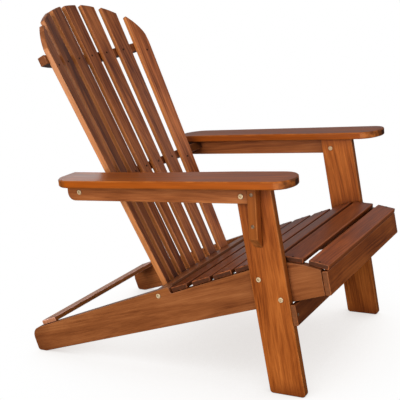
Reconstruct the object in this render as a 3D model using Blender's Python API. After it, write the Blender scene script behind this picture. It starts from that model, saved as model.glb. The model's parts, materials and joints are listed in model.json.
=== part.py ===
"""A slatted garden armchair of the adirondack kind, as a bolted flat-pack frame.

Axes: +Z is up, the sitter faces -Y and X runs across. The floor is Z = 0 and the chair is
symmetrical about X = 0. All lengths are in metres.
"""

import math

import bmesh
import bpy
from mathutils import Matrix, Vector

GAP = 0.0003  # clearance left between pieces that touch
EDGE = 0.0016  # rounding of the sawn edges
SIDES = {"left": 1, "right": -1}  # the sitter's left is +X

# Long side rails, which carry the seat and run down to the floor behind.
RAIL_INNER, RAIL_OUTER = 0.248, 0.270
RAIL_FOOT = (0.3958, 0.4205)
RAIL_TAIL = (0.4384, 0.0572)  # where the tail's top edge and rear end would meet
RAIL_STEP = -0.0155  # foot of the step down to the seat, which stops the rearmost slat
RAIL_NOSE_BOTTOM = (-0.4184, 0.2495)
SEAT_SLOPE = 0.3752
TAIL_SLOPE = 0.3785

# Front legs.
LEG_THICK = 0.0206
LEG_LEAN = 0.131
LEG_FRONT_FOOT, LEG_REAR_FOOT = -0.3709, -0.2820

# Arms and what holds them. The outline's corners are (X, Y, radius) on the sitter's left.
ARM_OUTLINE = (
    (0.2528, -0.3610, 0.048),
    (0.3150, -0.3850, 0.060),
    (0.3668, -0.3690, 0.038),
    (0.3663, 0.2490, 0.057),
    (0.2580, 0.2490, 0.006),
    (0.2630, 0.1400, 0.200),
    (0.2630, -0.0350, 0.120),
    (0.2528, -0.2100, 0.160),
)
ARM_THICK = 0.0183
ARM_FALL = 0.041
ARM_TOP_HEIGHT = 0.5147  # height of the arm's top face at Y = 0
ARM_RAIL_THICK = 0.0235
ARM_RAIL_FRONT, ARM_RAIL_REAR = -0.2600, 0.2340
ARM_RAIL_BOTTOM = 0.4533  # height of its lower edge at Y = 0
ARM_RAIL_FALL = 0.039
BRACKET_REACH = 0.0261
BRACKET_THICK = 0.0210
BRACKET_BOTTOM, BRACKET_HEEL = 0.3820, 0.3560  # heights at its outer edge and against the leg

# Seat slats, rear to front: the Y of the lower front edge, the fall to the rear and the width.
SLAT_THICK = 0.0125
SEAT_HALF_LENGTH = 0.2622
SEAT_SLATS = (
    (-0.0604, SEAT_SLOPE, 0.0470),
    (-0.1257, SEAT_SLOPE, 0.0535),
    (-0.1848, SEAT_SLOPE, 0.0535),
    (-0.2452, SEAT_SLOPE, 0.0535),
    (-0.3070, SEAT_SLOPE, 0.0535),
    (-0.3655, -0.054, 0.0530),
    (-0.4257, -0.180, 0.0490),
)
SEAT_START = (-0.0180, 0.2110)  # a point on the rails under the rearmost slat
SEAT_PEAK = (-0.3085, 0.3200)
SEAT_NOSE = (-0.3690, 0.3167)
SEAT_FRONT = (-0.4097, 0.3094)

# Boards across the front.
APRON_THICK = 0.0142
APRON_LEAN = 0.1457
APRON_REAR = -0.4189  # Y of its rear face at the bottom edge
APRON_BOTTOM, APRON_TOP = 0.2480, 0.3046
APRON_HALF_LENGTH = 0.2668
STRETCHER_THICK = 0.0120
STRETCHER_BOTTOM, STRETCHER_TOP = 0.1755, 0.2250

# The back: seven tapered slats in a shallow hollow fan that leans back.
BACK_LEAN = math.atan(0.4619)
BACK_ORIGIN = Vector((0.0, 0.0729, 0.2000))  # on the middle slat's front face
BACK_COUNT = 3  # slats on each side of the middle one
BACK_THICK = 0.0140
BACK_END = -0.042
PITCH, PITCH_GROWTH = 0.0546, 0.0246
HOLLOW, HOLLOW_GROWTH = 0.0189, 0.0262
WIDTH, WIDTH_GROWTH = 0.0338, 0.0267
ARCH_BASE, ARCH_HALF_WIDTH, ARCH_RISE = 0.640, 0.2393, 0.1482
ARCH_STEPS = 8  # points along the top of one slat
TOP_CORNER = 0.0025

# Rails across the back, as heights up the back.
LOWER_RAIL = (-0.0330, -0.0090)
LOWER_RAIL_FRONT = 0.0770
MIDDLE_RAIL = (0.2850, 0.3070)
MIDDLE_RAIL_SHOULDER = 0.0210
MIDDLE_RAIL_REAR = -0.0330
UPPER_RAIL = (0.6230, 0.6470)
UPPER_RAIL_DEPTH = 0.0275
UPPER_RAIL_HALF_LENGTH = 0.2500
CROSS_SLAT_FRONT, CROSS_SLAT_WIDTH = 0.3576, 0.0480

# Hardware.
HEAD_RADIUS, HEAD_HEIGHT = 0.0061, 0.0022
SHANK_RADIUS = 0.0030
BOLT_END = 0.0018  # how far a bolt reaches into its cap nut
SOCKET_RADIUS, SOCKET_DEPTH = 0.0028, 0.0014
CAP_NUT_HEIGHT, CAP_NUT_DEPTH = 0.0035, 0.0023
CROSS_NUT_RADIUS, CROSS_NUT_LENGTH = 0.0050, 0.0160
CROSS_NUT_POCKET = 0.0300  # how deep the nut's pocket runs from below
SCREW_HEAD_RADIUS, SCREW_SHANK_RADIUS = 0.0042, 0.0018
BRACKET_SCREW_LENGTH, STRETCHER_SCREW_LENGTH = 0.0400, 0.0350
ROUND = 24
FACET_MARGIN = 0.001  # a rail's flat facets reach this far past the slats on them
LEG_BOLTS = ((-0.2664, 0.2790), (-0.3197, 0.2355))
ARM_BOLT = (-0.2440, 0.4797)
MIDDLE_RAIL_BOLT = (0.1982, 0.4671)
LOWER_RAIL_BOLT = (0.0206, 0.2004)
END_BOLT_REACH = 0.0300  # how far a bolt runs into the end of a back rail
BRACKET_SCREWS = (0.4850, 0.4120)
STRETCHER_SCREW = 0.2000


def material(name, colour, metallic, roughness):
    made = bpy.data.materials.new(name)
    made.use_nodes = True
    shader = made.node_tree.nodes["Principled BSDF"]
    shader.inputs["Base Color"].default_value = (*colour, 1.0)
    shader.inputs["Metallic"].default_value = metallic
    shader.inputs["Roughness"].default_value = roughness
    made.diffuse_color = (*colour, 1.0)
    return made


def frame_of(across, along, origin=(0.0, 0.0, 0.0)):
    """The placing whose local X and Y point across and along, with local Z square to both."""
    across, along = Vector(across).normalized(), Vector(along).normalized()
    turned = Matrix((across, along, across.cross(along))).transposed().to_4x4()
    return Matrix.Translation(Vector(origin)) @ turned


def rounded(corners, steps=4):
    """An outline from (a, b, radius) corners, with each corner turned as an arc."""
    outline = []
    for index, (a, b, radius) in enumerate(corners):
        here = Vector((a, b))
        before = (Vector(corners[index - 1][:2]) - here).normalized()
        after = (Vector(corners[(index + 1) % len(corners)][:2]) - here).normalized()
        if radius <= 0.0:
            outline.append((a, b))
            continue
        half = before.angle(after) / 2
        centre = here + (before + after).normalized() * (radius / math.sin(half))
        start = here + before * (radius / math.tan(half)) - centre
        end = here + after * (radius / math.tan(half)) - centre
        swing = start.angle_signed(end)
        for step in range(steps + 1):
            turn = Matrix.Rotation(-swing * step / steps, 2)
            outline.append(tuple(centre + turn @ start))
    return outline


def object_of(name, mesh, look):
    made = bpy.data.objects.new(name, mesh)
    bpy.context.scene.collection.objects.link(made)
    mesh.materials.append(look)
    return made


def prism(name, outline, low, high, place, look, edge=EDGE):
    """A board: the outline in local X and Y, drawn through local Z from low to high."""
    shape = bmesh.new()
    base = [shape.verts.new((a, b, low)) for a, b in outline]
    lid = [shape.verts.new((a, b, high)) for a, b in outline]
    shape.faces.new(base)
    shape.faces.new(lid)
    for index in range(len(outline)):
        after = (index + 1) % len(outline)
        shape.faces.new((base[index], base[after], lid[after], lid[index]))
    bmesh.ops.recalc_face_normals(shape, faces=shape.faces)
    mesh = bpy.data.meshes.new(name)
    shape.to_mesh(mesh)
    shape.free()
    made = object_of(name, mesh, look)
    made.matrix_world = place
    if edge > 0.0:
        ease = made.modifiers.new("eased edges", "BEVEL")
        ease.width = edge
        ease.segments = 1
        ease.limit_method = "ANGLE"
        ease.angle_limit = math.radians(50)
    return made


def lathe(name, profile, place, look, sides=ROUND):
    """A turned piece: (height, radius) pairs about local Z, closed at both ends on the axis."""
    shape = bmesh.new()
    rings = []
    for height, radius in profile:
        if radius <= 0.0:
            rings.append([shape.verts.new((0.0, 0.0, height))])
            continue
        turns = [2 * math.pi * step / sides for step in range(sides)]
        rings.append(
            [shape.verts.new((radius * math.cos(t), radius * math.sin(t), height)) for t in turns]
        )
    for lower, upper in zip(rings, rings[1:]):
        for step in range(sides):
            after = (step + 1) % sides
            ring = [lower[step % len(lower)], lower[after % len(lower)]]
            ring += [upper[after % len(upper)], upper[step % len(upper)]]
            shape.faces.new(list(dict.fromkeys(ring)))
    bmesh.ops.recalc_face_normals(shape, faces=shape.faces)
    for face in shape.faces:
        face.smooth = True
    for edge in shape.edges:
        edge.smooth = edge.calc_face_angle(0.0) < math.radians(40)
    mesh = bpy.data.meshes.new(name)
    shape.to_mesh(mesh)
    shape.free()
    made = object_of(name, mesh, look)
    made.matrix_world = place
    return made


def cutter(made):
    made.hide_render = True
    made.display_type = "WIRE"
    return made


def cut(board, tool):
    hole = board.modifiers.new("cut " + tool.name, "BOOLEAN")
    hole.operation = "DIFFERENCE"
    hole.solver = "EXACT"
    hole.object = tool


def aim(point, direction):
    """A placing whose local Z runs from the point along the direction."""
    ahead = Vector(direction).normalized()
    side = Vector((0.0, 0.0, 1.0)) if abs(ahead.z) < 0.9 else Vector((1.0, 0.0, 0.0))
    across = side.cross(ahead).normalized()
    return frame_of(across, ahead.cross(across), point)


def bolt(name, start, direction, length, boards, look):
    """A socket bolt: its head lies on the face at start and its shank runs in, through boards."""
    place = aim(start, direction)
    profile = (
        (-HEAD_HEIGHT, 0.0),
        (-HEAD_HEIGHT, HEAD_RADIUS * 0.86),
        (-HEAD_HEIGHT * 0.6, HEAD_RADIUS),
        (-GAP, HEAD_RADIUS),
        (-GAP, SHANK_RADIUS),
        (length, SHANK_RADIUS),
        (length, 0.0),
    )
    made = lathe(name, profile, place, look)
    socket = ((-HEAD_HEIGHT - 0.001, 0.0), (-HEAD_HEIGHT - 0.001, SOCKET_RADIUS))
    socket += ((SOCKET_DEPTH - HEAD_HEIGHT, SOCKET_RADIUS), (SOCKET_DEPTH - HEAD_HEIGHT, 0.0))
    cut(made, cutter(lathe("socket of " + name, socket, place, look, sides=6)))
    bore = SHANK_RADIUS + GAP
    hole = ((-0.002, 0.0), (-0.002, bore), (length + 0.001, bore), (length + 0.001, 0.0))
    drill = cutter(lathe("bore of " + name, hole, place, look))
    for board in boards:
        cut(board, drill)
    return made


def cap_nut(name, face, direction, look):
    """A flanged nut whose flange lies on the face, open towards the bolt that ends in it."""
    place = aim(face, direction)
    bore = SHANK_RADIUS + GAP
    profile = (
        (CAP_NUT_DEPTH, 0.0),
        (CAP_NUT_DEPTH, bore),
        (GAP, bore),
        (GAP, HEAD_RADIUS),
        (CAP_NUT_HEIGHT * 0.7, HEAD_RADIUS),
        (CAP_NUT_HEIGHT, HEAD_RADIUS * 0.8),
        (CAP_NUT_HEIGHT, 0.0),
    )
    return lathe(name, profile, place, look)


def cross_nut(name, centre, direction, look):
    """A barrel nut lying across the end of a back rail, with the bolt entering its side."""
    half = CROSS_NUT_LENGTH / 2
    profile = ((-half, 0.0), (-half, CROSS_NUT_RADIUS), (half, CROSS_NUT_RADIUS), (half, 0.0))
    return lathe(name, profile, aim(centre, direction), look)


def screw(name, start, direction, length, boards, look):
    """A countersunk wood screw with its head just under the face at start."""
    place = aim(start, direction)
    cone = SCREW_HEAD_RADIUS - SCREW_SHANK_RADIUS
    profile = (
        (GAP, 0.0),
        (GAP, SCREW_HEAD_RADIUS),
        (2 * GAP + cone, SCREW_SHANK_RADIUS),
        (length * 0.8, SCREW_SHANK_RADIUS),
        (length, 0.0),
    )
    made = lathe(name, profile, place, look, sides=16)
    wide, narrow = SCREW_HEAD_RADIUS + GAP, SCREW_SHANK_RADIUS + GAP
    hole = (
        (-0.001, 0.0),
        (-0.001, wide),
        (2 * GAP, wide),
        (3 * GAP + cone, narrow),
        (length + 0.001, narrow),
        (length + 0.001, 0.0),
    )
    drill = cutter(lathe("bore of " + name, hole, place, look, sides=16))
    for board in boards:
        cut(board, drill)
    return made


ACROSS_X = frame_of((0, 1, 0), (0, 0, 1))  # outlines in Y and Z, drawn through X


def arm_top(y):
    return ARM_TOP_HEIGHT - ARM_FALL * y


def arm_underside(y):
    return arm_top(y) - ARM_THICK - GAP


def seat_line(y):
    """Height of the side rails' top edge under a seat slat."""
    points = (SEAT_FRONT, SEAT_NOSE, SEAT_PEAK, SEAT_START)
    for (y0, z0), (y1, z1) in zip(points, points[1:]):
        if y <= y1 or y1 == SEAT_START[0]:
            return z0 + (y - y0) * (z1 - z0) / (y1 - y0)


def tail_line(y):
    """Height of the side rails' top edge behind the step."""
    return RAIL_TAIL[1] + TAIL_SLOPE * (RAIL_TAIL[0] - y)


def side_rail(side, look):
    step_bottom = seat_line(RAIL_STEP)
    step_top = RAIL_STEP + SEAT_SLOPE * (tail_line(RAIL_STEP) - step_bottom)
    corners = (
        (*RAIL_NOSE_BOTTOM, 0.002),
        (RAIL_FOOT[0], 0.0, 0.006),
        (RAIL_FOOT[1], 0.0, 0.009),
        (*RAIL_TAIL, 0.025),
        (step_top, tail_line(step_top), 0.004),
        (RAIL_STEP, step_bottom, 0.001),
        (SEAT_PEAK[0], SEAT_PEAK[1], 0.012),
        (SEAT_NOSE[0], SEAT_NOSE[1], 0.020),
        (SEAT_FRONT[0], SEAT_FRONT[1], 0.003),
    )
    low, high = sorted((SIDES[side] * RAIL_INNER, SIDES[side] * RAIL_OUTER))
    return prism("side_rail_" + side, rounded(corners), low, high, ACROSS_X, look)


def front_leg(side, look):
    front, rear = LEG_FRONT_FOOT, LEG_REAR_FOOT
    height = arm_underside(front + LEG_LEAN * 0.5)
    front_top = front + LEG_LEAN * height
    rear_top = rear + LEG_LEAN * height
    corners = (
        (front, 0.0, 0.008),
        (rear, 0.0, 0.008),
        (rear_top, arm_underside(rear_top), 0.0),
        (front_top, arm_underside(front_top), 0.0),
    )
    inner = RAIL_OUTER + GAP
    low, high = sorted((SIDES[side] * inner, SIDES[side] * (inner + LEG_THICK)))
    return prism("front_leg_" + side, rounded(corners), low, high, ACROSS_X, look)


def arm(side, look):
    outline = [(SIDES[side] * x, y) for x, y in rounded(ARM_OUTLINE, steps=8)]
    tilt = Matrix.Rotation(-math.atan(ARM_FALL), 4, "X")
    place = Matrix.Translation((0.0, 0.0, ARM_TOP_HEIGHT)) @ tilt
    return prism("arm_" + side, outline, -ARM_THICK, 0.0, place, look, edge=0.0025)


def arm_rail(side, look):
    front, rear = ARM_RAIL_FRONT, ARM_RAIL_REAR
    corners = (
        (front, ARM_RAIL_BOTTOM - ARM_RAIL_FALL * front, 0.001),
        (rear, ARM_RAIL_BOTTOM - ARM_RAIL_FALL * rear, 0.020),
        (rear, arm_underside(rear), 0.0),
        (front, arm_underside(front), 0.0),
    )
    inner = RAIL_OUTER + LEG_THICK + 2 * GAP
    low, high = sorted((SIDES[side] * inner, SIDES[side] * (inner + ARM_RAIL_THICK)))
    return prism("arm_rail_" + side, rounded(corners, 6), low, high, ACROSS_X, look)


def arm_bracket(side, look):
    inner = RAIL_OUTER + LEG_THICK + 2 * GAP
    outer = inner + BRACKET_REACH
    rear = ARM_RAIL_FRONT - GAP
    corners = (
        (inner, arm_underside(rear), 0.0),
        (outer, arm_underside(rear), 0.0),
        (outer, BRACKET_BOTTOM, 0.004),
        (inner, BRACKET_HEEL, 0.0),
    )
    outline = [(SIDES[side] * x, z) for x, z in rounded(corners)]
    place = frame_of((1, 0, 0), (0, 0, 1))
    return prism("arm_bracket_" + side, outline, -rear, -rear + BRACKET_THICK, place, look)


def seat_slat(number, front, fall, width, look):
    back = Vector((1.0, -fall)).normalized()
    lift = Vector((-back.y, back.x))
    rear = front + width * back.x
    support = max(
        seat_line(y) + fall * (y - front)
        for y in (max(front, SEAT_FRONT[0]), (front + rear) / 2, rear)
    )
    low_front = Vector((front, support + GAP))
    corners = [low_front, low_front + back * width]
    corners += [low_front + back * width + lift * SLAT_THICK, low_front + lift * SLAT_THICK]
    outline = rounded([(corner.x, corner.y, 0.0022) for corner in corners], steps=2)
    half = SEAT_HALF_LENGTH
    return prism(f"seat_slat_{number}", outline, -half, half, ACROSS_X, look, edge=0.0012)


def leaning_board(name, rear_bottom, lean, bottom, top, thick, half, look):
    """A board on edge across the front, leaning with the front legs."""
    rise = top - bottom
    up = Vector((lean, 1.0)).normalized()
    out = Vector((-up.y, up.x))
    start = Vector((rear_bottom, bottom))
    reach = rise / up.y
    corners = [start + out * thick, start, start + up * reach, start + up * reach + out * thick]
    outline = rounded([(corner.x, corner.y, 0.0022) for corner in corners], steps=2)
    return prism(name, outline, -half, half, ACROSS_X, look, edge=0.0012)


UP_BACK = Vector((0.0, math.sin(BACK_LEAN), math.cos(BACK_LEAN)))
OUT_OF_BACK = Vector((0.0, -math.cos(BACK_LEAN), math.sin(BACK_LEAN)))


def slat_centre(index, height):
    """(across, forward) of a back slat's front face at a height up the back."""
    across = index * (PITCH + PITCH_GROWTH * height)
    forward = (HOLLOW + HOLLOW_GROWTH * height) * (index / BACK_COUNT) ** 2
    return across, forward


def slat_turn(index, height):
    """How far a back slat is turned to follow the hollow."""
    half = BACK_COUNT * (PITCH + PITCH_GROWTH * height)
    hollow = HOLLOW + HOLLOW_GROWTH * height
    return math.atan(2 * hollow * slat_centre(index, height)[0] / half**2)


def back_point(across, forward, height):
    return BACK_ORIGIN + Vector((across, 0.0, 0.0)) + OUT_OF_BACK * forward + UP_BACK * height


def slat_frame(index):
    """Local X across the slat, local Y up it and local Z out of its front face."""
    low, high = 0.0, 0.6
    foot = back_point(*slat_centre(index, low), low)
    head = back_point(*slat_centre(index, high), high)
    along = (head - foot).normalized()
    turn = slat_turn(index, (low + high) / 2)
    across = Vector((math.cos(turn), 0.0, 0.0)) + OUT_OF_BACK * math.sin(turn)
    across = (across - along * across.dot(along)).normalized()
    return frame_of(across, along, foot)


def back_slat(index, look):
    place = slat_frame(index)
    turn = slat_turn(index, 0.3)

    foot = slat_half_width(BACK_END)
    outline = [(foot, BACK_END, 0.0), (-foot, BACK_END, 0.0)]
    centre = slat_centre(index, ARCH_BASE + 0.07)[0]
    reach = slat_half_width(ARCH_BASE + 0.07) * math.cos(turn)
    ends = [max(-1.0, min(1.0, (centre + s * reach) / ARCH_HALF_WIDTH)) for s in (-1, 1)]
    first, last = math.asin(ends[0]), math.asin(ends[1])
    for step in range(ARCH_STEPS + 1):
        angle = first + (last - first) * step / ARCH_STEPS
        height = ARCH_BASE + ARCH_RISE * math.cos(angle)
        side = (ARCH_HALF_WIDTH * math.sin(angle) - slat_centre(index, height)[0]) / math.cos(turn)
        limit = slat_half_width(height)
        radius = TOP_CORNER if step in (0, ARCH_STEPS) else 0.0
        outline.append((max(-limit, min(limit, side)), height, radius))
    name = f"back_slat_{index + BACK_COUNT + 1}"
    return prism(name, rounded(outline), -BACK_THICK, 0.0, place, look, edge=0.0015)


def slat_half_width(height):
    return (WIDTH + WIDTH_GROWTH * height) / 2


def hollow_facets(heights, depth, nearest):
    """(across, forward) corners of a rail's edge that meets each slat flat, at this slat depth."""
    middle = sum(heights) / 2
    reach = slat_half_width(middle) + FACET_MARGIN
    corners = []
    for index in range(-BACK_COUNT, BACK_COUNT + 1):
        inside = slat_frame(index)
        away = inside.to_3x3() @ Vector((0.0, 0.0, 1.0))
        face = inside @ Vector((0.0, 0.0, -depth))
        centre = slat_centre(index, middle)[0]
        for across in (centre - reach, centre + reach):
            gaps = [(face - back_point(across, 0.0, height)).dot(away) for height in heights]
            corners.append((across, nearest(gaps) / OUT_OF_BACK.dot(away)))
    return corners


def back_rail_board(name, outline, heights, look):
    """A rail square to the back: the outline is in across and forward."""
    place = frame_of((1, 0, 0), -OUT_OF_BACK, BACK_ORIGIN)
    turned = [(across, -forward) for across, forward in outline]
    return prism(name, turned, heights[0], heights[1], place, look)


def lower_back_rail(look):
    corners = hollow_facets(LOWER_RAIL, 0.0, max)
    half = RAIL_INNER - GAP
    touching = [(-half, corners[0][1]), *corners, (half, corners[-1][1])]
    outline = [(a, b + GAP) for a, b in touching]
    outline += [(half, LOWER_RAIL_FRONT), (-half, LOWER_RAIL_FRONT)]
    return back_rail_board("lower_back_rail", outline, LOWER_RAIL, look)


def middle_back_rail(look):
    corners = hollow_facets(MIDDLE_RAIL, BACK_THICK, min)
    half = RAIL_OUTER + LEG_THICK + GAP
    shoulder = corners[-1][0] + 0.02
    touching = [(-half, MIDDLE_RAIL_SHOULDER), (-shoulder, MIDDLE_RAIL_SHOULDER), *corners]
    touching += [(shoulder, MIDDLE_RAIL_SHOULDER), (half, MIDDLE_RAIL_SHOULDER)]
    outline = [(a, b - GAP) for a, b in touching]
    outline += [(half, MIDDLE_RAIL_REAR), (-half, MIDDLE_RAIL_REAR)]
    return back_rail_board("middle_back_rail", outline, MIDDLE_RAIL, look)


def upper_back_rail(look):
    corners = hollow_facets(UPPER_RAIL, BACK_THICK, min)
    half = UPPER_RAIL_HALF_LENGTH
    (x0, y0), (x1, y1) = corners[-2:]
    tip = y1 + (half - x1) * (y1 - y0) / (x1 - x0)
    touching = [(-half, tip), *corners, (half, tip)]
    outline = [(a, b - GAP) for a, b in touching]
    middle = sum(UPPER_RAIL) / 2
    hollow = HOLLOW + HOLLOW_GROWTH * middle
    spread = BACK_COUNT * (PITCH + PITCH_GROWTH * middle)
    for step in range(13):
        across = half * (1 - step / 6)
        curve = hollow * (across / spread) ** 2 - BACK_THICK
        outline.append((across, curve - UPPER_RAIL_DEPTH))
    return back_rail_board("upper_back_rail", outline, UPPER_RAIL, look)


def rear_cross_slat(look):
    back = Vector((1.0, -TAIL_SLOPE)).normalized()
    lift = Vector((-back.y, back.x))
    start = Vector((CROSS_SLAT_FRONT, tail_line(CROSS_SLAT_FRONT) + GAP))
    corners = [start, start + back * CROSS_SLAT_WIDTH]
    corners += [corners[1] + lift * SLAT_THICK, start + lift * SLAT_THICK]
    outline = rounded([(corner.x, corner.y, 0.0022) for corner in corners], steps=2)
    half = SEAT_HALF_LENGTH
    return prism("rear_cross_slat", outline, -half, half, ACROSS_X, look, edge=0.0012)


def front_apron(look):
    shape = (APRON_REAR, APRON_LEAN, APRON_BOTTOM, APRON_TOP, APRON_THICK, APRON_HALF_LENGTH)
    return leaning_board("front_apron", *shape, look)


def front_stretcher(look):
    """The board across the front edges of the two front legs."""
    rear = LEG_FRONT_FOOT + LEG_LEAN * STRETCHER_BOTTOM - 2 * GAP
    half = RAIL_OUTER + LEG_THICK + GAP
    shape = (rear, LEG_LEAN, STRETCHER_BOTTOM, STRETCHER_TOP, STRETCHER_THICK, half)
    return leaning_board("front_stretcher", *shape, look)


def through_bolt(name, side, place, faces, boards, look):
    """A bolt from the outer to the inner face of two boards at (Y, Z), and its cap nut."""
    sign = SIDES[side]
    outer, inner = faces
    inwards = (-sign, 0.0, 0.0)
    length = outer - inner + BOLT_END
    bolt(f"{name[0]}_{side}", (sign * outer, *place), inwards, length, boards, look)
    cap_nut(f"{name[1]}_{side}", (sign * inner, *place), inwards, look)


def end_bolt(name, side, place, outer, thick, boards, look):
    """A bolt through a side board into the end of a back rail, and the cross nut it screws into."""
    inwards = Vector((-SIDES[side], 0.0, 0.0))
    start = Vector((SIDES[side] * outer, *place))
    length = thick + END_BOLT_REACH
    bolt(f"{name}_bolt_{side}", start, inwards, length, boards, look)
    centre = start + inwards * (length + CROSS_NUT_RADIUS + GAP)
    cross_nut(f"{name}_nut_{side}", centre, UP_BACK, look)
    pocket = CROSS_NUT_RADIUS + GAP
    roof = CROSS_NUT_LENGTH / 2 + 2 * GAP
    hole = ((-CROSS_NUT_POCKET, 0.0), (-CROSS_NUT_POCKET, pocket), (roof, pocket), (roof, 0.0))
    cut(boards[1], cutter(lathe(f"pocket of {name} {side}", hole, aim(centre, UP_BACK), look)))


def bracket_screws(side, boards, look):
    sign = SIDES[side]
    outer_edge = sign * (RAIL_OUTER + LEG_THICK + 2 * GAP + BRACKET_REACH)
    y = ARM_RAIL_FRONT - GAP - BRACKET_THICK / 2
    for number, z in enumerate(BRACKET_SCREWS, 1):
        name = f"bracket_screw_{number}_{side}"
        start = (outer_edge, y, z)
        screw(name, start, (-sign, 0.0, 0.0), BRACKET_SCREW_LENGTH, boards, look)


def stretcher_screw(side, boards, look):
    forward = Vector((0.0, -1.0, LEG_LEAN)).normalized()
    y = LEG_FRONT_FOOT + LEG_LEAN * STRETCHER_SCREW
    x = SIDES[side] * (RAIL_OUTER + GAP + LEG_THICK / 2)
    start = Vector((x, y, STRETCHER_SCREW)) + forward * (2 * GAP + STRETCHER_THICK)
    name = "stretcher_screw_" + side
    screw(name, start, -forward, STRETCHER_SCREW_LENGTH, boards, look)


def build():
    for old in list(bpy.data.objects):
        bpy.data.objects.remove(old, do_unlink=True)

    wood = material("oiled_hardwood", (0.33, 0.12, 0.045), 0.0, 0.45)
    brass = material("brass", (0.78, 0.60, 0.32), 1.0, 0.35)

    for number, (front, fall, width) in enumerate(SEAT_SLATS, 1):
        seat_slat(number, front, fall, width, wood)
    for index in range(-BACK_COUNT, BACK_COUNT + 1):
        back_slat(index, wood)
    front_apron(wood)
    stretcher = front_stretcher(wood)
    lower = lower_back_rail(wood)
    middle = middle_back_rail(wood)
    upper_back_rail(wood)
    rear_cross_slat(wood)

    leg_face = RAIL_OUTER + GAP + LEG_THICK
    arm_rail_face = leg_face + GAP + ARM_RAIL_THICK
    for side in SIDES:
        rail = side_rail(side, wood)
        leg = front_leg(side, wood)
        arm(side, wood)
        upper = arm_rail(side, wood)
        bracket = arm_bracket(side, wood)
        for number, place in enumerate(LEG_BOLTS, 1):
            names = (f"leg_bolt_{number}", f"leg_nut_{number}")
            through_bolt(names, side, place, (leg_face, RAIL_INNER), (leg, rail), brass)
        faces = (arm_rail_face, RAIL_OUTER + GAP)
        through_bolt(("arm_bolt", "arm_nut"), side, ARM_BOLT, faces, (upper, leg), brass)
        across = (upper, middle)
        end_bolt(
            "middle_rail", side, MIDDLE_RAIL_BOLT, arm_rail_face, ARM_RAIL_THICK, across, brass
        )
        thick = RAIL_OUTER - RAIL_INNER
        end_bolt("lower_rail", side, LOWER_RAIL_BOLT, RAIL_OUTER, thick, (rail, lower), brass)
        bracket_screws(side, (bracket, leg), brass)
        stretcher_screw(side, (stretcher, leg), brass)


build()
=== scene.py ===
"""The looks of the slatted garden chair: every board in oiled hardwood, its screws and bolts,
a pale floor, soft studio light and the camera. Lengths are in metres, in the frame's axes."""

import json
import math
import random

import bmesh
import bpy
import numpy as np
from mathutils import Matrix, Vector
from mathutils.geometry import tessellate_polygon


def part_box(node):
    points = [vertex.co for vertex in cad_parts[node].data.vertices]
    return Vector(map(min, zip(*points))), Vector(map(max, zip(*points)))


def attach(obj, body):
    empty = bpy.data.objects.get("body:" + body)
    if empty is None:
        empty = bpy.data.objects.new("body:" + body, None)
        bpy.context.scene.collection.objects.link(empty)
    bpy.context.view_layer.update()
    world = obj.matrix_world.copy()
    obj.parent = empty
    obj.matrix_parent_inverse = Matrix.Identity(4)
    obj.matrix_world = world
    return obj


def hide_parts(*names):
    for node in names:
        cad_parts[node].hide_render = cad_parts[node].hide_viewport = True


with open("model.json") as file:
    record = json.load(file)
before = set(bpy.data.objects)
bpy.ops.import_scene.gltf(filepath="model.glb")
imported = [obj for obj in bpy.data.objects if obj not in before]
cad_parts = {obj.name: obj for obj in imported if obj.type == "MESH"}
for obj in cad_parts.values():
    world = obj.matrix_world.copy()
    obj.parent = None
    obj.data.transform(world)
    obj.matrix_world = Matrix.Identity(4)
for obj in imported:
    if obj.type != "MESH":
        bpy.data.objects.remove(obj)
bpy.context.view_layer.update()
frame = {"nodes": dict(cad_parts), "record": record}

UP, FRONT = Vector((0, 0, 1)), Vector((0, -1, 0))
WHITE, BLACK = (1.0, 1.0, 1.0), (0.0, 0.0, 0.0)

# ---------------------------------------------------------------- node trees


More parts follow.
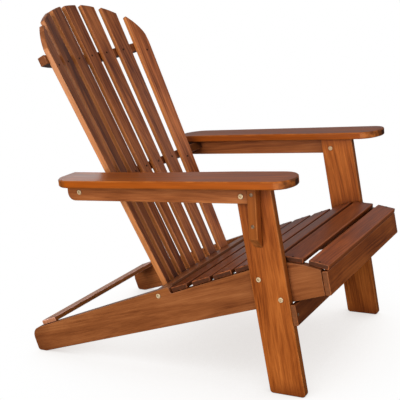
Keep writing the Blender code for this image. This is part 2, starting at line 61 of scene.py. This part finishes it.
class Nodes:
    """A short way to write a node tree."""

    MIX_COLOURS, MIX_RESULT = (6, 7), 2  # a Mix node's sockets for colours

    def __init__(self, tree):
        self.tree = tree

    def add(self, kind, inputs=(), **settings):
        node = self.tree.nodes.new(kind)
        for key, value in settings.items():
            setattr(node, key, value)
        for key, value in dict(inputs).items():
            if isinstance(value, bpy.types.NodeSocket):
                self.tree.links.new(value, node.inputs[key])
            else:
                node.inputs[key].default_value = value
        return node

    def math(self, operation, first, second=0.0):
        return self.add("ShaderNodeMath", {0: first, 1: second}, operation=operation).outputs[0]

    def vector(self, operation, first, second=BLACK):
        made = self.add("ShaderNodeVectorMath", {0: first, 1: second}, operation=operation)
        return made.outputs["Value" if operation in ("DOT_PRODUCT", "LENGTH") else "Vector"]

    def attribute(self, name, vector=False):
        node = self.add("ShaderNodeAttribute", attribute_name=name)
        return node.outputs["Vector" if vector else "Fac"]

    def noise(self, vector, scale, detail=3.0, output="Fac"):
        """Noise with its own number of repeats in a metre on each axis."""
        stretched = self.vector("MULTIPLY", vector, scale)
        settings = {"Vector": stretched, "Scale": 1.0, "Detail": detail, "Roughness": 0.55}
        return self.add("ShaderNodeTexNoise", settings).outputs[output]

    def lines(self, place, detail, roughness=0.55):
        """Noise that varies with one number only."""
        settings = {"W": place, "Scale": 1.0, "Detail": detail, "Roughness": roughness}
        return self.add("ShaderNodeTexNoise", settings, noise_dimensions="1D").outputs["Fac"]

    def blend(self, start, *weighted):
        """The start value plus each (signal, weight), where a signal of one half adds nothing."""
        total = start
        for signal, weight in weighted:
            part = self.math("MULTIPLY", self.math("SUBTRACT", signal, 0.5), weight)
            total = self.math("ADD", part, total)
        return total

    def ramp(self, factor, *stops):
        node = self.add("ShaderNodeValToRGB", {"Fac": factor})
        elements = node.color_ramp.elements
        while len(elements) < len(stops):
            elements.new(0.5)
        for element, (place, colour) in zip(elements, stops):
            element.position = place
            element.color = (*colour, 1.0)
        return node.outputs["Color"]

    def mix(self, factor, first, second, blend="MIX"):
        node = self.add("ShaderNodeMix", data_type="RGBA", blend_type=blend)
        sockets = [node.inputs["Factor"], *(node.inputs[index] for index in self.MIX_COLOURS)]
        for socket, value in zip(sockets, (factor, first, second)):
            if isinstance(value, bpy.types.NodeSocket):
                self.tree.links.new(value, socket)
            elif socket.type == "RGBA":
                socket.default_value = (*value, 1.0)
            else:
                socket.default_value = value
        return node.outputs[self.MIX_RESULT]

    def openness(self, reach, samples=12):
        """From 0 deep in a gap to 1 in the clear, looking no farther than the reach."""
        made = self.add("ShaderNodeAmbientOcclusion", {"Distance": reach}, samples=samples)
        return made.outputs["AO"]


class Finish(Nodes):
    """The node tree of a new material, with its shader."""

    def __init__(self, name):
        self.material = bpy.data.materials.new(name)
        self.material.use_nodes = True
        super().__init__(self.material.node_tree)
        self.shader = self.tree.nodes["Principled BSDF"]

    def to(self, socket, value):
        if isinstance(value, bpy.types.NodeSocket):
            self.tree.links.new(value, self.shader.inputs[socket])
        else:
            self.shader.inputs[socket].default_value = value

    def bump(self, height, strength, distance):
        settings = {"Height": height, "Strength": strength, "Distance": distance}
        self.to("Normal", self.add("ShaderNodeBump", settings).outputs["Normal"])


def shade(colour, factors):
    return tuple(part * factor for part, factor in zip(colour, factors))


def grey(level):
    return (level, level, level)


# ---------------------------------------------------------------- wood

# What the wood's red, green and blue are multiplied by.
DARK_FIGURE, LIGHT_FIGURE = (0.40, 0.30, 0.25), (1.50, 1.75, 2.00)
PORE, STREAK = (0.55, 0.48, 0.42), (0.72, 0.70, 0.66)
LIGHTER_SIDE, DARKER_END = (1.40, 1.50, 1.30), (0.45, 0.36, 0.34)
# On the edges: lighter from wear, and a painted highlight where they would catch the light.
RUBBED_AND_HIGHLIT_EDGE = (1.35, 1.70, 2.60)
# Painted shade in crevices, at its deepest and where it thins out.
DEEP_PAINTED_SHADE, THIN_PAINTED_SHADE = (0.16, 0.10, 0.07), (0.70, 0.64, 0.60)

PORES_SHOW, SIDES_SHOW, ENDS_SHOW = 0.45, 0.55, 0.45  # how strongly, at their fullest
CREVICE_SHADE_REACH = 0.06  # surfaces closer together than this darken each other with painted shade


def lengthwise(along, across):
    """Repeats in a metre along a board, and across and through it."""
    return (along, across, across)


class Wood(Finish):
    """A wood's node tree, with what varies over a board as signals from 0 to 1. It reads what
    finer_board() marks. "grain" is the place in the log, along, across and through the board, with
    the heart at 0 across and through. "reach" runs from -1 to 1 over the board on each axis, and
    "tone" is what its colour is multiplied by. "edge", "end" and "rim" are its edges, rubbed light
    and with a painted highlight laid on, its end grain and its two narrow sides."""

    BEND = 0.03  # how far the grain drifts from straight, at most half of this to each side
    TAPER = 0.03  # how much of a step along the log counts as a step away from its heart
    RINGS, BROAD_RINGS = 330.0, 52.0  # repeats in a metre, away from the heart

    def __init__(self, name):
        super().__init__(name)
        self.grain = self.attribute("grain", vector=True)
        drift = self.noise(self.grain, lengthwise(1.6, 9.0), detail=2.0, output="Color")
        drift = self.vector("SUBTRACT", drift, grey(0.5))
        drift = self.vector("MULTIPLY", drift, (0.0, self.BEND, self.BEND))
        bent = self.vector("ADD", self.grain, drift)
        radius = self.vector("LENGTH", self.vector("MULTIPLY", bent, (self.TAPER, 1.0, 1.0)))
        self.rings = self.lines(self.math("MULTIPLY", radius, self.RINGS), 2.5, roughness=0.6)
        self.broad = self.lines(self.math("MULTIPLY", radius, self.BROAD_RINGS), 1.0)
        self.streaks = self.noise(bent, lengthwise(4.0, 150.0))
        self.fibre = self.noise(bent, lengthwise(11.0, 620.0))
        self.pores = self.noise(bent, lengthwise(38.0, 1500.0), detail=1.0)
        self.cloud = self.noise(self.grain, lengthwise(6.0, 22.0))
        self.rim, self.end = self.attribute("rim"), self.attribute("end")


def figured(n, wood, contrast):
    """The wood's colour, with its rings, streaks, fibres and pores."""
    parts = ((n.rings, 0.34), (n.broad, 0.30), (n.streaks, 0.44), (n.fibre, 0.50), (n.cloud, 0.56))
    figure = n.blend(0.5, *((signal, weight * contrast) for signal, weight in parts))
    dark, light = shade(wood, DARK_FIGURE), shade(wood, LIGHT_FIGURE)
    colour = n.ramp(figure, (0.18, dark), (0.50, wood), (0.84, light))
    pore_marks = n.ramp(n.pores, (0.30, PORE), (0.42, WHITE))
    return n.mix(PORES_SHOW, colour, pore_marks, blend="MULTIPLY")


def aged(n, colour, wood):
    """The colour, lighter towards a board's long edges and darker towards its ends."""
    reach = n.vector("ABSOLUTE", n.attribute("reach", vector=True))
    along, across, _ = n.add("ShaderNodeSeparateXYZ", {0: reach}).outputs
    near_side = n.blend(across, (n.cloud, 0.5), (n.streaks, 0.3))
    near_side = n.ramp(near_side, (0.70, BLACK), (1.00, WHITE))
    near_end = n.blend(along, (n.cloud, 0.12), (n.streaks, 0.12))
    near_end = n.ramp(near_end, (0.88, BLACK), (1.00, WHITE))
    side_share = n.math("MULTIPLY", near_side, SIDES_SHOW)
    end_share = n.math("MULTIPLY", near_end, ENDS_SHOW)
    colour = n.mix(side_share, colour, shade(wood, LIGHTER_SIDE))
    return n.mix(end_share, colour, shade(wood, DARKER_END))


def sawn(n, colour, end, rim):
    """The colour, with that of the narrow sides and the end grain, which the tone leaves alone."""
    streaked = n.ramp(n.streaks, (0.35, STREAK), (0.65, WHITE))
    colour = n.mix(n.rim, colour, n.mix(1.0, streaked, rim, blend="MULTIPLY"))
    colour = n.vector("MULTIPLY", colour, n.attribute("tone", vector=True))
    return n.mix(n.end, colour, n.mix(1.0, streaked, end, blend="MULTIPLY"))


def worn_and_highlit(n, colour, wood):
    """The colour, with edges rubbed light in patches: wear, and a painted highlight."""
    patches = n.noise(n.grain, lengthwise(22.0, 60.0))
    patches = n.ramp(patches, (0.42, grey(0.25)), (0.64, WHITE))
    wear_and_highlight = n.math("MULTIPLY", n.attribute("edge"), patches)
    return n.mix(wear_and_highlight, colour, shade(wood, RUBBED_AND_HIGHLIT_EDGE))


def crevice_shaded(n, colour, rim_shade):
    """The colour, with painted shade in crevices. The narrow sides take only the rim_shade share of
    it.
    """
    open_air = n.openness(CREVICE_SHADE_REACH)
    painted_shade = n.ramp(open_air, (0.22, DEEP_PAINTED_SHADE), (0.52, THIN_PAINTED_SHADE), (0.92, WHITE))
    shade_share = n.blend((1.0 + rim_shade) / 2, (n.rim, rim_shade - 1.0))
    return n.mix(shade_share, colour, painted_shade, blend="MULTIPLY")


def oiled_wood(name, wood, end, rim, contrast=1.0, rim_shade=1.0):
    n = Wood(name)
    colour = aged(n, figured(n, wood, contrast), wood)
    colour = worn_and_highlit(n, sawn(n, colour, end, rim), wood)
    n.to("Base Color", crevice_shaded(n, colour, rim_shade))
    rough = n.blend(0.35, (n.cloud, 0.20), (n.fibre, 0.14))
    n.to("Roughness", n.math("ADD", rough, n.math("MULTIPLY", n.end, 0.18)))
    n.to("Specular IOR Level", 0.28)
    n.to("Coat Weight", 0.08)
    n.to("Coat Roughness", 0.32)
    height = n.blend(0.0, (n.fibre, 0.5), (n.rings, 0.5), (n.pores, 0.35))
    n.bump(height, strength=0.28, distance=0.0005)
    return n.material


# Named by material slot, and three more for boards whose wood differs from the rest of their slot.
WOODS = {
    "frame_boards": oiled_wood(
        "oiled wood, frame", wood=(0.450, 0.114, 0.018), end=(0.330, 0.100, 0.020),
        rim=(0.440, 0.120, 0.018), contrast=1.35),
    "rails": oiled_wood(
        "oiled wood, rails", wood=(0.390, 0.121, 0.034), end=(0.330, 0.100, 0.030),
        rim=(0.400, 0.130, 0.034)),
    # A pale, pinkish wood for the rear cross slat, its lightness partly painted sheen laid into the
    # colour.
    "pale": oiled_wood(
        "oiled wood, pale", wood=(0.880, 0.400, 0.220), end=(0.780, 0.330, 0.170),
        rim=(0.450, 0.140, 0.022)),
    "arm_boards": oiled_wood(
        "oiled wood, arms", wood=(0.500, 0.112, 0.011), end=(0.085, 0.022, 0.006),
        rim=(0.520, 0.112, 0.005)),
    "seat_boards": oiled_wood(
        "oiled wood, seat", wood=(0.410, 0.092, 0.018), end=(0.130, 0.038, 0.012),
        rim=(0.380, 0.095, 0.018), contrast=1.25),
    "apron": oiled_wood(
        "oiled wood, apron", wood=(0.395, 0.098, 0.018), end=(0.290, 0.095, 0.030),
        rim=(0.420, 0.120, 0.026), contrast=1.5),
    # The back slats' narrow sides are golden: paler wood with a painted highlight laid in, and
    # rim_shade spares them most of the painted shade.
    "back_slats": oiled_wood(
        "oiled wood, back", wood=(0.440, 0.120, 0.030), end=(0.300, 0.090, 0.020),
        rim=(1.000, 0.370, 0.110), contrast=2.0, rim_shade=0.2),
}

# Boards that stand out among their like, by wood: how light each is, in steps. The boards that
# aren't here have their slot's wood, and a tone drawn between -1 and 1.
STANDING_OUT = {
    "frame_boards": {
        "front_leg_left": 1.3, "front_leg_right": 0.5,
        "arm_bracket_left": 0.5, "arm_bracket_right": 0.5,
    },
    "rails": {
        "arm_rail_left": 1.5, "arm_rail_right": 2.0,
        "side_rail_left": 3.5, "side_rail_right": -0.4,
        # The upper and middle back rails are darkened as painted shade, where they stand behind the
        # slats.
        "upper_back_rail": -2.0, "middle_back_rail": -4.0, "lower_back_rail": 0.0,
    },
    "pale": {"rear_cross_slat": 0.0},
    "arm_boards": {"arm_left": -0.5},
    "apron": {"front_apron": 0.3, "front_stretcher": -4.0},
    "seat_boards": {
        # Seat slats 1 to 3, at the back of the seat, are darkened as painted shade.
        "seat_slat_1": -4.0, "seat_slat_2": -2.0, "seat_slat_3": -2.0,
        "seat_slat_4": 1.0, "seat_slat_6": -0.8, "seat_slat_7": 1.3,
    },
    "back_slats": {
        # Back slats 1 to 3 are darkened as painted shade, and back slat 7 is lightened as painted
        # sheen.
        "back_slat_1": -1.5, "back_slat_2": -3.5, "back_slat_3": -2.0,
        "back_slat_6": -0.8, "back_slat_7": 2.0,
    },
}
TONE_STEP = 1.12  # how much one step of tone lightens a board

# ---------------------------------------------------------------- metal

PIT_SHADE, PIT_SHADE_REACH = (0.10, 0.07, 0.04), 0.004  # painted shade deep in a socket, and how near its walls have to be


def plated_metal(name, colour, tarnish, metallic=1.0):
    """Brushed plating with patches of tarnish, and painted shade in the socket and under the head.
    """
    n = Finish(name)
    place = n.add("ShaderNodeTexCoord").outputs["Object"]
    patches = n.noise(place, grey(260.0), detail=4.0)
    brushed = n.noise(place, (900.0, 900.0, 2600.0), detail=2.0)
    plate = n.ramp(patches, (0.35, tarnish), (0.60, colour))
    pit_shade = n.ramp(n.openness(PIT_SHADE_REACH), (0.40, PIT_SHADE), (0.80, WHITE))
    n.to("Base Color", n.mix(1.0, plate, pit_shade, blend="MULTIPLY"))
    n.to("Metallic", metallic)
    n.to("Roughness", n.math("ADD", n.math("MULTIPLY", patches, 0.22), 0.26))
    n.bump(brushed, strength=0.15, distance=0.0002)
    return n.material


METALS = {
    "brass_hardware": plated_metal(
        "yellow plated bolts", (1.00, 0.80, 0.52), (0.90, 0.62, 0.34), metallic=0.25),
    "zinc_screws": plated_metal(
        "plated screws", (0.50, 0.34, 0.22), (0.20, 0.12, 0.07), metallic=0.4),
}
DARK_STEEL = plated_metal("dark slat screws", (0.090, 0.050, 0.030), (0.030, 0.016, 0.010))

# ---------------------------------------------------------------- boards and hardware

WELD = 0.00002  # points closer together than this are one
FLAT = math.radians(0.6)  # faces that meet at less than this are one
SHARP = math.radians(28)  # an edge that bends more than this is rounded
BOARD_EDGE = 0.0008  # second rounding, laid on the CAD model's chamfers
METAL_EDGE = 0.00025

# How straight a face looks along one of its board's axes, from 0 to 1.
SQUARE = 0.985  # from here it is one of the board's flat sides
NARROW_SIDE = 0.7  # across the board: from here it is a rim
END_START, END_FADE = 0.12, 0.5  # along the board: where end grain starts, and how soon it is full

# Where a board's middle may lie in its log, from a point on the heart.
LOG_ALONG, LOG_THROUGH = 9.0, 0.05
LOG_ACROSS = (0.02, 0.07)


def link(name, data):
    made = bpy.data.objects.new(name, data)
    bpy.context.scene.collection.objects.link(made)
    return made


def board_axes(mesh):
    """A board's middle, and its own axes: along its length, across its width and through it."""
    places = np.array([face.center for face in mesh.polygons])
    areas = np.array([face.area for face in mesh.polygons])
    middle = (places * areas[:, None]).sum(0) / areas.sum()
    spread = ((places - middle) * areas[:, None]).T @ (places - middle)
    _, axes = np.linalg.eigh(spread)
    return Vector(middle), [Vector(axes[:, column]) for column in (2, 1, 0)]


def finer_mesh(node, rounding):
    """A copy of a node's mesh, with its flat faces whole and its sharp edges rounded again."""
    mesh = frame["nodes"][node].data.copy()
    shape = bmesh.new()
    shape.from_mesh(mesh)
    bmesh.ops.remove_doubles(shape, verts=shape.verts, dist=WELD)
    bmesh.ops.dissolve_limit(shape, angle_limit=FLAT, verts=shape.verts, edges=shape.edges)
    bends = [edge for edge in shape.edges if edge.calc_face_angle(0.0) > SHARP]
    bmesh.ops.bevel(
        shape, geom=bends, offset=rounding, segments=2, profile=0.5, affect="EDGES",
        clamp_overlap=True,
    )
    shape.to_mesh(mesh)
    shape.free()
    mesh.shade_smooth()
    mesh.materials.clear()
    return mesh


def stand_in(node, mesh, look):
    """Makes the piece that is shown in place of a node."""
    mesh.name = "fine_" + node
    mesh.materials.append(look)
    piece = link("fine_" + node, mesh)
    piece.modifiers.new("even shading", "WEIGHTED_NORMAL").keep_sharp = True
    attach(piece, "root")
    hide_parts(node)


def mark(mesh, name, values, vector=False):
    """Writes an attribute that the wood reads: a vector at each point, or a number on each face."""
    if vector:
        kind, domain, field = "FLOAT_VECTOR", "POINT", "vector"
    else:
        kind, domain, field = "FLOAT", "FACE", "value"
    mesh.attributes.new(name, kind, domain).data.foreach_set(field, values)


def finer_board(node, slot):
    """A board with what its wood reads: its place in the log, its tone, and marks on its faces."""
    chance = random.Random(node)
    middle, axes = board_axes(frame["nodes"][node].data)
    mesh = finer_mesh(node, BOARD_EDGE)
    heart_side = chance.choice((-1, 1))
    log_place = Vector((
        chance.uniform(-LOG_ALONG, LOG_ALONG),
        heart_side * chance.uniform(*LOG_ACROSS),
        chance.uniform(-LOG_THROUGH, LOG_THROUGH),
    ))
    wood, tone = slot, chance.uniform(-1, 1)
    for own_wood, tones in STANDING_OUT.items():
        if node in tones:
            wood, tone = own_wood, tones[node]

    places = [Vector((point.co - middle).dot(axis) for axis in axes) for point in mesh.vertices]
    half_sizes = [max(abs(place[side]) for place in places) for side in range(3)]
    grain = [part for place in places for part in log_place + place]
    reach = [part / half for place in places for part, half in zip(place, half_sizes)]
    mark(mesh, "grain", grain, vector=True)
    mark(mesh, "reach", reach, vector=True)
    mark(mesh, "tone", [TONE_STEP ** tone] * 3 * len(places), vector=True)

    facings = [[abs(face.normal.dot(axis)) for axis in axes] for face in mesh.polygons]
    mark(mesh, "edge", [float(max(facing) < SQUARE) for facing in facings])
    ends = [(along - END_START) / END_FADE for along, _, _ in facings]
    mark(mesh, "end", [min(1.0, max(0.0, share)) for share in ends])
    mark(mesh, "rim", [float(across > NARROW_SIDE) for _, across, _ in facings])
    stand_in(node, mesh, WOODS[wood])


def dress_frame():
    for part in frame["record"]["subparts"]:
        node, slot = part["node"], part["material_slot"]
        if slot in WOODS:
            finer_board(node, slot)
        else:
            stand_in(node, finer_mesh(node, METAL_EDGE), METALS[slot])


# ---------------------------------------------------------------- slat screws

SCREW_RADIUS = 0.0030
SCREW_RISE = 0.0005  # how far a slat screw's head stands out of the wood
SCREW_SIDES = 20
SCREW_TOP = 0.90  # radius of the head's flat top, as a share of the head's
CROSS_REACH, CROSS_HALF = 0.62, 0.15  # the recess's arms, as shares of the head's radius
BED_REACH, BED_HALF, BED_HEIGHT = 0.8, 0.7, 0.2  # its bottom, as shares of its mouth and the rise
SCREW_INSET = 0.0048  # from a seat slat's end


def screw_head():
    """A low round head with a cross recess, as points and faces. It stands on Z = 0."""
    def circle(radius, height):
        turns = [2 * math.pi * side / SCREW_SIDES for side in range(SCREW_SIDES)]
        return [Vector((radius * math.cos(a), radius * math.sin(a), height)) for a in turns]

    def cross(reach, half, height):
        quarter = [(reach, -half), (reach, half), (half, half)]
        points = []
        for turn in range(4):
            spin = Matrix.Rotation(turn * math.pi / 2, 2)
            points += [spin @ Vector(corner) for corner in quarter]
        return [Vector((*point, height)) for point in points]

    reach, half = SCREW_RADIUS * CROSS_REACH, SCREW_RADIUS * CROSS_HALF
    foot, top = circle(SCREW_RADIUS, 0.0), circle(SCREW_RADIUS * SCREW_TOP, SCREW_RISE)
    mouth = cross(reach, half, SCREW_RISE)
    bed = cross(reach * BED_REACH, half * BED_HALF, SCREW_RISE * BED_HEIGHT)
    top_start = len(foot)
    mouth_start = top_start + len(top)
    bed_start = mouth_start + len(mouth)
    faces = [tuple(top_start + index for index in triangle)
             for triangle in tessellate_polygon([top, mouth])]
    for start, after, count in ((0, top_start, len(foot)), (mouth_start, bed_start, len(mouth))):
        for index in range(count):
            follow = (index + 1) % count
            faces.append((start + index, start + follow, after + follow, after + index))
    faces.append(tuple(range(bed_start, bed_start + len(bed))))
    return foot + top + mouth + bed, faces


def slat_screws(name, places):
    """One piece of screw heads, standing on the boards at each (point, outward normal)."""
    head, head_faces = screw_head()
    chance = random.Random(name)
    points, faces = [], []
    for place, normal in places:
        turn = normal.to_track_quat("Z", "Y").to_matrix().to_4x4()
        spin = Matrix.Rotation(chance.uniform(0, math.pi / 2), 4, "Z")
        put = Matrix.Translation(place) @ turn @ spin
        faces += [tuple(len(points) + index for index in face) for face in head_faces]
        points += [put @ point for point in head]
    mesh = bpy.data.meshes.new(name)
    mesh.from_pydata(points, [], faces)
    shape = bmesh.new()
    shape.from_mesh(mesh)
    bmesh.ops.recalc_face_normals(shape, faces=shape.faces)
    shape.to_mesh(mesh)
    shape.free()
    mesh.materials.append(DARK_STEEL)
    piece = link(name, mesh)
    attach(piece, "root")


def face_point(node, outward, target):
    """Where a board's outward face is nearest to the target, on its centre line: point, normal."""
    mesh = frame["nodes"][node].data
    middle, (along, _, through) = board_axes(mesh)
    if through.dot(outward) < 0:
        through.negate()
    height = max((point.co - middle).dot(through) for point in mesh.vertices)
    reach = (Vector(target) - middle).dot(along)
    return middle + reach * along + height * through, through


def slats(start):
    return sorted(node for node in frame["nodes"] if node.startswith(start))


def screw_slats():
    """A screw near each end of every seat slat, and one in every back slat at each back rail."""
    seat = []
    for slat in slats("seat_slat_"):
        low, high = (Vector(corner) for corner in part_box(slat))
        middle = (low + high) / 2
        for x in (low.x + SCREW_INSET, high.x - SCREW_INSET):
            seat.append(face_point(slat, UP, (x, middle.y, middle.z)))
    slat_screws("seat_slat_screws", seat)
    back = []
    for rail in ("upper_back_rail", "middle_back_rail", "lower_back_rail"):
        low, high = (Vector(corner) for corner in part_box(rail))
        back += [face_point(slat, FRONT, (low + high) / 2) for slat in slats("back_slat_")]
    slat_screws("back_slat_screws", back)


# ---------------------------------------------------------------- floor and light

FLOOR_REACH = 14.0
FLOOR_SHADE_REACH = 0.8
FLOOR_SHADE = (
    (0.10, (0.700, 0.660, 0.640)),
    (0.33, (0.785, 0.755, 0.735)),
    (0.60, (0.960, 0.942, 0.930)),
    (0.82, WHITE),
)
ROOM = (  # brightness of the room from straight down to straight up
    (0.00, grey(0.02)),
    (0.52, grey(0.04)),
    (0.62, (0.17, 0.17, 0.18)),
    (0.75, (0.20, 0.20, 0.21)),
    (1.00, (0.20, 0.20, 0.21)),
)
WALL_SIDE = (0.86, 0.47, 0.20)  # towards the lit wall, behind the chair in the photographed view
WALL = ((0.60, BLACK), (0.97, (0.17, 0.16, 0.16)))
LIGHTS = (  # name, place, the point it is turned to, size, watts, colour
    ("key", (-3.6, 0.3, 1.4), (0.0, 0.0, 0.4), (2.0, 2.0), 70.0, (1.0, 0.97, 0.92)),
    ("low", (-3.4, -1.7, 0.6), (0.0, 0.0, 0.2), (2.4, 0.9), 31.0, (1.0, 0.97, 0.92)),
    ("front", (-1.0, -4.0, 1.3), (0.0, 0.0, 0.4), (2.4, 2.0), 24.0, (1.0, 0.96, 0.92)),
    ("right", (2.3, -2.7, 1.9), (0.0, 0.0, 0.5), (1.6, 1.6), 9.0, (1.0, 0.96, 0.94)),
    ("rear", (2.6, 3.0, 1.8), (0.0, 0.0, 0.4), (2.0, 2.0), 14.0, (1.0, 0.98, 0.96)),
)


def floor():
    """A floor that glows white and takes no light, dimmed softly by what stands over it."""
    mesh = bpy.data.meshes.new("floor")
    reach = FLOOR_REACH
    corners = [(-reach, -reach, 0), (reach, -reach, 0), (reach, reach, 0), (-reach, reach, 0)]
    mesh.from_pydata(corners, [], [(0, 1, 2, 3)])
    n = Finish("pale floor")
    n.to("Base Color", (*BLACK, 1.0))
    n.to("Roughness", 0.9)
    n.to("Specular IOR Level", 0.0)
    n.to("Emission Color", n.ramp(n.openness(FLOOR_SHADE_REACH, samples=24), *FLOOR_SHADE))
    n.to("Emission Strength", 1.0)
    mesh.materials.append(n.material)
    made = link("floor", mesh)
    made.visible_diffuse = False
    made.visible_glossy = False


def backdrop():
    """Plain white to the camera. What lights the chair is a dim room with a brighter wall."""
    world = bpy.data.worlds.new("studio")
    world.use_nodes = True
    bpy.context.scene.world = world
    n = Nodes(world.node_tree)
    direction = n.add("ShaderNodeTexCoord").outputs["Generated"]
    height = n.add("ShaderNodeSeparateXYZ", {0: direction}).outputs["Z"]
    height = n.math("MULTIPLY", n.math("ADD", height, 1.0), 0.5)
    room = n.ramp(height, *ROOM)
    wall = n.ramp(n.vector("DOT_PRODUCT", direction, WALL_SIDE), *WALL)
    lit = n.tree.nodes["Background"]
    n.tree.links.new(n.mix(1.0, room, wall, blend="ADD"), lit.inputs["Color"])
    white = n.add("ShaderNodeBackground", {"Color": (*WHITE, 1.0)})
    seen = n.add("ShaderNodeLightPath").outputs["Is Camera Ray"]
    both = n.add("ShaderNodeMixShader", {0: seen, 1: lit.outputs[0], 2: white.outputs[0]})
    n.tree.links.new(both.outputs[0], n.tree.nodes["World Output"].inputs["Surface"])


def soft_light(name, place, target, size, power, colour):
    data = bpy.data.lights.new(name, "AREA")
    data.shape = "RECTANGLE"
    data.size, data.size_y = size
    data.energy = power
    data.color = colour
    made = link(name, data)
    made.location = place
    made.rotation_euler = (Vector(target) - Vector(place)).to_track_quat("-Z", "Y").to_euler()


def studio():
    bpy.context.scene.view_settings.view_transform = "Standard"
    backdrop()
    floor()
    for light in LIGHTS:
        soft_light(*light)


# ---------------------------------------------------------------- camera

# Fitted to the photograph's view: the place, and the turns in degrees from looking along +Y.
CAMERA_PLACE = (-2.0328, -1.0885, 0.9340)
AZIMUTH, ELEVATION, ROLL = 298.90, 13.41, 3.787
LENS, SENSOR = 79.31, 36.0


def camera():
    azimuth, elevation, roll = (math.radians(turn) for turn in (AZIMUTH, ELEVATION, ROLL))
    back = Vector((
        math.sin(azimuth) * math.cos(elevation),
        -math.cos(azimuth) * math.cos(elevation),
        math.sin(elevation),
    ))
    right = UP.cross(back).normalized()
    up = back.cross(right)
    turned_right = right * math.cos(roll) - up * math.sin(roll)
    turned_up = right * math.sin(roll) + up * math.cos(roll)
    data = bpy.data.cameras.new("camera")
    data.sensor_width = SENSOR
    data.lens = LENS
    made = link("camera", data)
    turn = Matrix((turned_right, turned_up, back)).transposed().to_4x4()
    made.matrix_world = Matrix.Translation(CAMERA_PLACE) @ turn
    bpy.context.scene.camera = made


dress_frame()
screw_slats()
studio()
camera()
